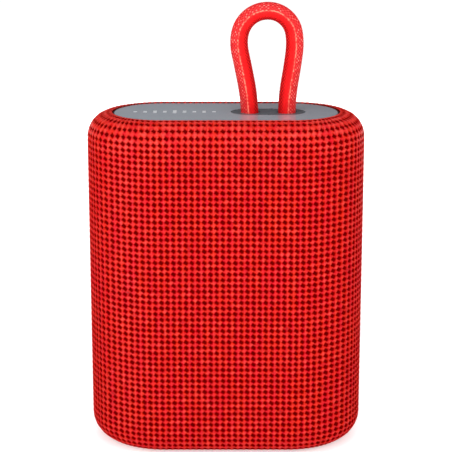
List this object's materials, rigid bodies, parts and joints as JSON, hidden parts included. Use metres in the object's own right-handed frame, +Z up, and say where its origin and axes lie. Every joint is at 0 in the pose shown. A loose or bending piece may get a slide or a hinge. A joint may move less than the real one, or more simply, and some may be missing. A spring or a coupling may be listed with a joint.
{
  "type": "portable speaker",
  "caption": "Compact upright battery speaker with rounded sides, a perforated fabric sleeve, a flat top plate and a braided carry loop.",
  "frame": {"origin": "on the floor, under the centre of the body's box without the carry loop", "axes": "+Z up, -Y towards the front, +X to the right, the side that the carry loop stands on"},
  "size_m": [0.093, 0.051, 0.1505],
  "materials": {
    "red_fabric": "woven, with a grid of small dark holes",
    "cord_red": "braided cord",
    "housing_black": "moulded, fine texture",
    "plate_grey": "smooth grey, satin gloss",
    "mark_silver": "thin light inlay",
    "insert_grey": "dark grey, smooth",
    "steel": "plated",
    "base_black": "moulded, fine texture",
    "foot_rubber": "matt",
    "panel_black": "moulded, satin",
    "button_rubber": "matt",
    "plunger_plastic": "plain",
    "flap_rubber": "matt",
    "boot_rubber": "matt",
    "chip_black": "plain",
    "light_clear": "clear, frosted end",
    "board_green": "solder mask",
    "capacitor_metal": "plain",
    "connector_white": "plain",
    "wire_cover": "insulation",
    "cell_silver": "foil pouch",
    "foam": "soft foam",
    "basket_metal": "black, pressed",
    "ferrite": "sintered",
    "former_foil": "foil",
    "copper": "enamelled winding",
    "cone_paper": "coated pulp",
    "surround_rubber": "moulded roll",
    "spider_cloth": "resin-dipped cloth",
    "screw_black": "black oxide"
  },
  "bodies": {
    "housing": {"fabric_sleeve": "red_fabric", "front_housing": "housing_black", "rear_housing": "housing_black", "top_plate": "plate_grey", "plate_mark": "mark_silver", "loop_insert": "insert_grey", "carry_loop": "cord_red", "loop_ferrules": "steel", "base_plate": "base_black", "rubber_foot": "foot_rubber", "control_panel": "panel_black", "tact_switches": "chip_black", "flap_tether": "flap_rubber", "usb_c_shell": "steel", "usb_c_tongue": "chip_black", "card_socket": "steel", "status_light": "light_clear", "microphone": "steel", "microphone_boot": "boot_rubber", "main_board": "board_green", "radio_module": "steel", "amplifier_chip": "chip_black", "board_capacitors": "capacitor_metal", "speaker_connector": "connector_white", "battery_connector": "connector_white", "speaker_wires": "wire_cover", "battery_wires": "wire_cover", "battery_cell": "cell_silver", "battery_protection_board": "board_green", "battery_foam": "foam", "battery_tray": "housing_black", "baffle": "housing_black", "driver_basket": "basket_metal", "driver_top_plate": "steel", "driver_magnet": "ferrite", "driver_yoke": "steel", "driver_surround": "surround_rubber", "driver_spider": "spider_cloth", "driver_gasket": "foam", "radiator_frame": "housing_black", "radiator_surround": "surround_rubber", "small_screws": "steel", "housing_screws": "steel", "base_screws": "screw_black"},
    "power_key": {"power_button": "button_rubber", "power_switch_plunger": "plunger_plastic"},
    "volume_up_key": {"volume_up_button": "button_rubber", "volume_up_switch_plunger": "plunger_plastic"},
    "play_key": {"play_button": "button_rubber", "play_switch_plunger": "plunger_plastic"},
    "volume_down_key": {"volume_down_button": "button_rubber", "volume_down_switch_plunger": "plunger_plastic"},
    "flap": {"port_flap": "flap_rubber"},
    "cone": {"driver_cone": "cone_paper", "driver_dust_cap": "cone_paper", "voice_coil_former": "former_foil", "voice_coil": "copper"},
    "radiator": {"radiator_diaphragm": "cone_paper", "radiator_weight": "steel"}
  },
  "joints": [
    {"name": "power_press", "type": "slide", "parent": "housing", "child": "power_key", "axis": [0, -1, 0], "range_m": [0, 0.0005], "stiffness_N_per_m": 4000, "springref_m": -0.0001},
    {"name": "volume_up_press", "type": "slide", "parent": "housing", "child": "volume_up_key", "axis": [0, -1, 0], "range_m": [0, 0.0005], "stiffness_N_per_m": 4000, "springref_m": -0.0001},
    {"name": "play_press", "type": "slide", "parent": "housing", "child": "play_key", "axis": [0, -1, 0], "range_m": [0, 0.0005], "stiffness_N_per_m": 4000, "springref_m": -0.0001},
    {"name": "volume_down_press", "type": "slide", "parent": "housing", "child": "volume_down_key", "axis": [0, -1, 0], "range_m": [0, 0.0005], "stiffness_N_per_m": 4000, "springref_m": -0.0001},
    {"name": "flap_hinge", "type": "hinge", "parent": "housing", "child": "flap", "pos_m": [0, 0.0241, 0.0249], "axis": [-1, 0, 0], "range_deg": [0, 110], "deforming": ["flap_tether"]},
    {"name": "cone_travel", "type": "slide", "parent": "housing", "child": "cone", "axis": [0, -1, 0], "range_m": [-0.0015, 0.0015], "stiffness_N_per_m": 1500, "deforming": ["driver_surround", "driver_spider"]},
    {"name": "radiator_travel", "type": "slide", "parent": "housing", "child": "radiator", "axis": [0, -1, 0], "range_m": [-0.0015, 0.0015], "stiffness_N_per_m": 1000, "deforming": ["radiator_surround"]}
  ]
}
